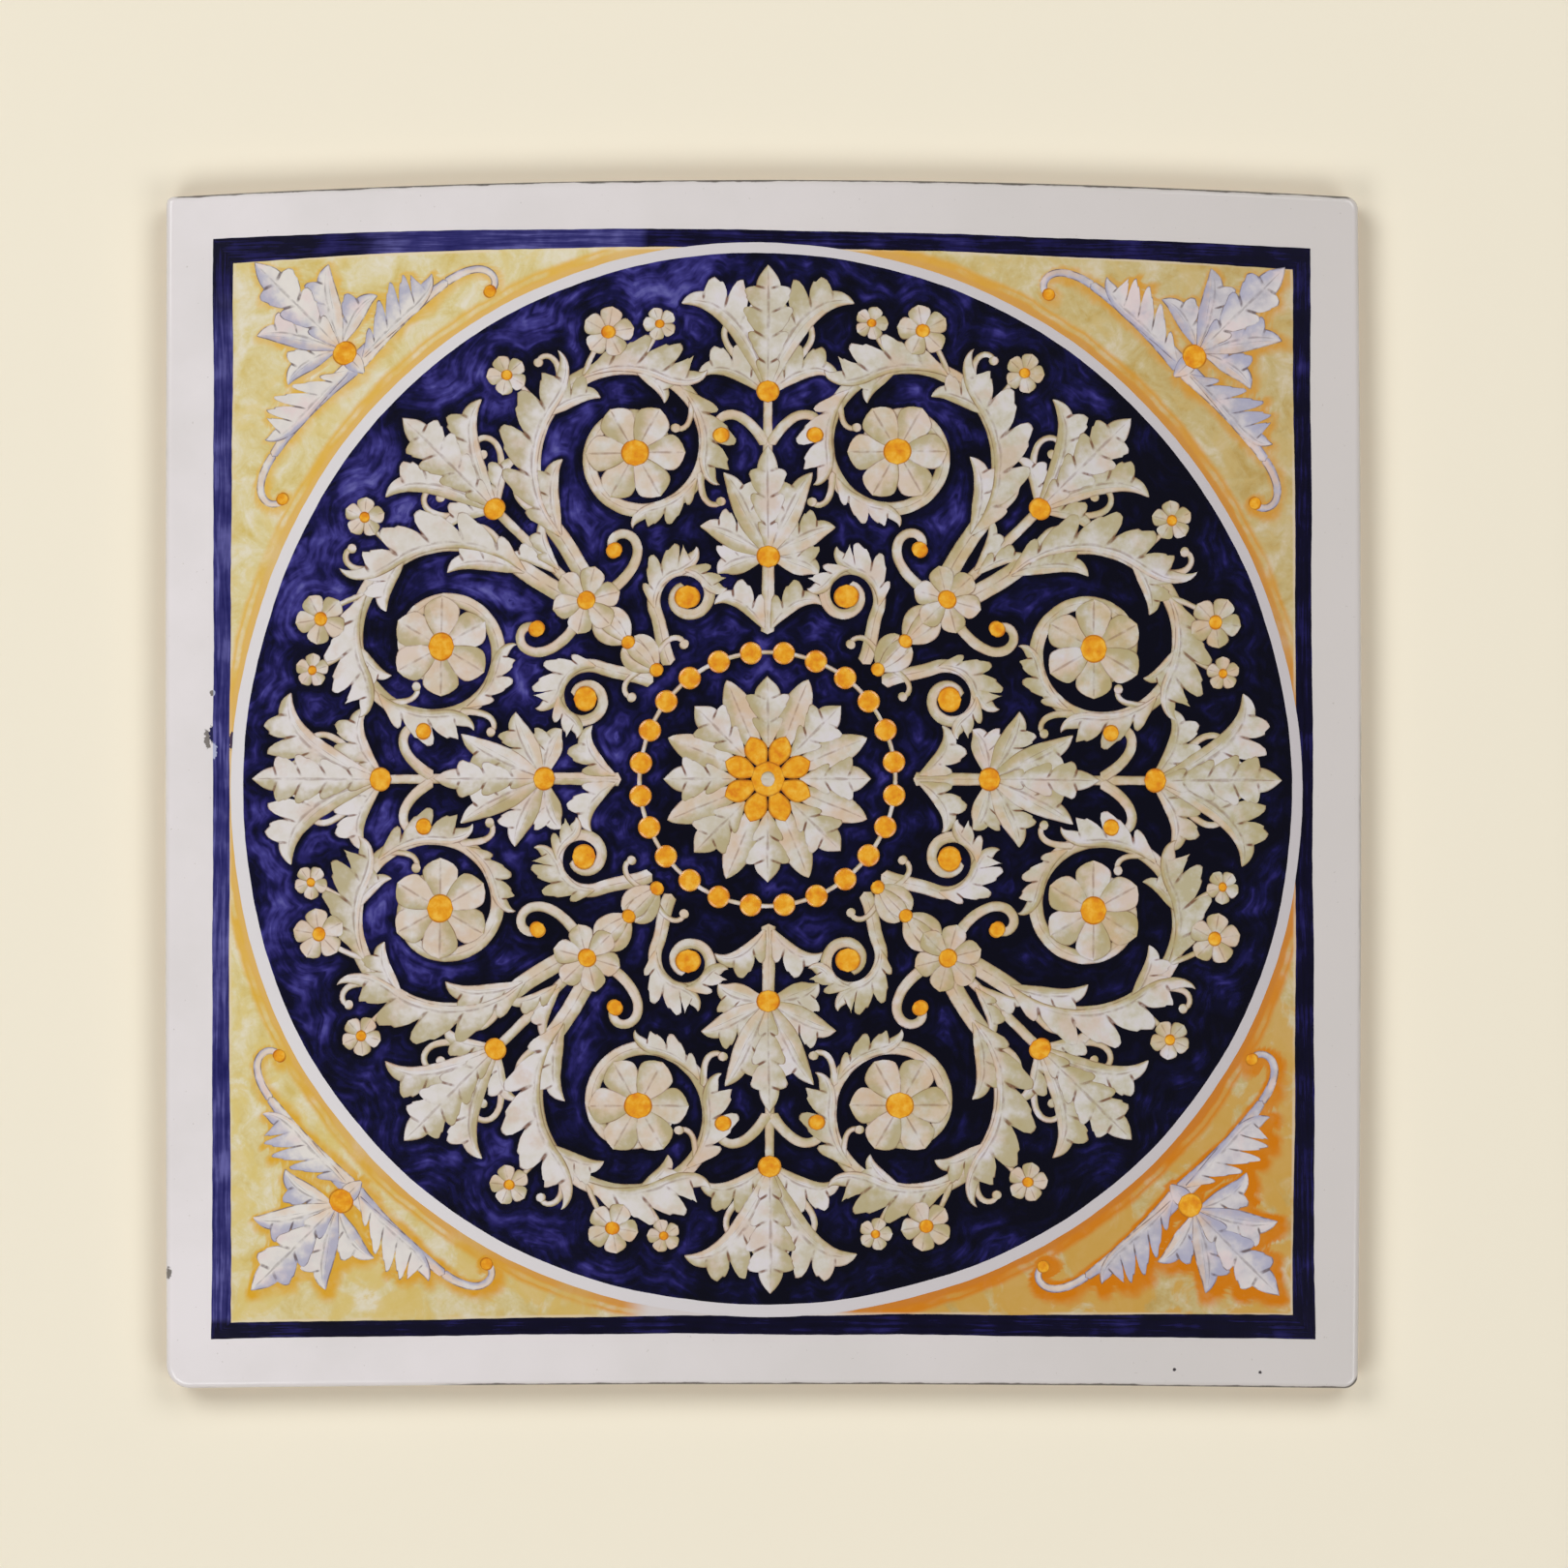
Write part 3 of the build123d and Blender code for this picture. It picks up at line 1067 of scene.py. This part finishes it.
def lay_brushwork(materials):
    """Lays all strokes and gives back the points of their edges."""
    rims = []
    for name, strokes in brushwork().items():
        for paint in ("cream", "lilac", "orange"):
            same = [stroke for stroke in strokes if stroke.paint == paint]
            if not same:
                continue
            bm = new_mesh()
            for stroke in same:
                lay_stroke(bm, stroke, rims)
            finish_piece(bm, f"{name}_{paint}", *materials[paint])
    bm = new_mesh()
    for i in range(BEAD_COUNT):
        x, y = lay_bead(bm, *polar(BEAD_RING, 360 * (i + 0.5) / BEAD_COUNT))
        rims += [(x + px, y + py) for px, py in (polar(BEAD_RADIUS, 30 * j) for j in range(12))]
    finish_piece(bm, "beads", *materials["orange"], smooth=True)
    return rims


def edge_tree(rims):
    """Finds the nearest stroke edge to any point of the face."""
    tree = kdtree.KDTree(len(rims))
    for i, (x, y) in enumerate(rims):
        tree.insert((x, y, 0), i)
    tree.balance()
    return tree


# Stage, in metres

CAMERA_AIM = (0.0052, 0.0)  # the middle of the picture, on the face
CAMERA_HEIGHT = 1.6
CAMERA_SENSOR = 36.0
VIEW_WIDTH = 0.3945  # what the picture takes in, at the height of the face
FLOOR_REACH = 3.0
PAPER = tone(239, 231, 212)
LAMPS = ((140, 11.9), (230, 9.4), (320, 7.6), (50, 8.3))  # direction and power
LAMP_SIZE = 0.9
LAMP_OUT, LAMP_UP = 1.0, 1.5
SKY_HORIZON = 0.5  # up to this height the sky fades from bright to dim
SKY_LOW, SKY_HIGH = 0.6, 0.05  # its strength low down and above


def build_camera():
    camera_data = bpy.data.cameras.new("camera")
    camera_data.sensor_width = CAMERA_SENSOR
    camera_data.lens = CAMERA_SENSOR * CAMERA_HEIGHT / VIEW_WIDTH
    camera = add_object("camera", camera_data)
    camera.location = (*CAMERA_AIM, TILE_HIGH.z + CAMERA_HEIGHT)
    bpy.context.scene.camera = camera


def build_floor():
    bm = bmesh.new()
    bmesh.ops.create_grid(bm, x_segments=1, y_segments=1, size=FLOOR_REACH)
    mesh = bpy.data.meshes.new("floor")
    bm.to_mesh(mesh)
    bm.free()
    paper = bpy.data.materials.new("floor")
    paper.use_nodes = True
    shader = paper.node_tree.nodes["Principled BSDF"]
    shader.inputs["Base Color"].default_value = PAPER
    shader.inputs["Roughness"].default_value = 0.9
    shader.inputs["Specular IOR Level"].default_value = 0.1
    mesh.materials.append(paper)
    add_object("floor", mesh)


def build_light():
    """Soft light from four sides, and a sky that is dim above, where dark glaze mirrors it."""
    for angle, power in LAMPS:
        lamp_data = bpy.data.lights.new(f"lamp_{angle}", "AREA")
        lamp_data.shape = "DISK"
        lamp_data.size = LAMP_SIZE
        lamp_data.energy = power
        lamp = add_object(f"lamp_{angle}", lamp_data)
        lamp.location = (*polar(LAMP_OUT, angle), LAMP_UP)
        lamp.rotation_euler = (-lamp.location).to_track_quat("-Z", "Y").to_euler()
    world = bpy.data.worlds.new("world")
    world.use_nodes = True
    bpy.context.scene.world = world
    tree = world.node_tree
    direction = tree.nodes.new("ShaderNodeTexCoord").outputs["Generated"]
    split = tree.nodes.new("ShaderNodeSeparateXYZ")
    height = tree.nodes.new("ShaderNodeMapRange")
    for socket, value in (("From Max", SKY_HORIZON), ("To Min", SKY_LOW), ("To Max", SKY_HIGH)):
        height.inputs[socket].default_value = value
    sky = tree.nodes["Background"]
    sky.inputs["Color"].default_value = PAPER
    tree.links.new(direction, split.inputs[0])
    tree.links.new(split.outputs["Z"], height.inputs["Value"])
    tree.links.new(height.outputs["Result"], sky.inputs["Strength"])


build_camera()
build_floor()
build_light()
bpy.context.scene.view_settings.view_transform = "Standard"

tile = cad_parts["tile"]
tile.data.materials.clear()
tile.data.materials.append(white_glaze())

paints = {
    "cream": (cream_paint(), "cream_glaze"),
    "lilac": (lilac_paint(), "cream_glaze"),
    "orange": (orange_paint(), "orange_glaze"),
}
tree = edge_tree(lay_brushwork(paints))
finish_piece(lay_roundel(tree), "roundel_ground", cobalt_ground(), "cobalt_glaze")
finish_piece(lay_ring(), "white_ring", ring_glaze(), "white_glaze")
cobalt, yellow = cobalt_line(), yellow_ground()
for i, side in enumerate(SIDE_NAMES):
    finish_piece(lay_frame_side(i), f"frame_{side}", cobalt, "cobalt_glaze")
    finish_piece(lay_corner(i, tree), f"corner_ground_{i + 1}", yellow, "yellow_glaze")
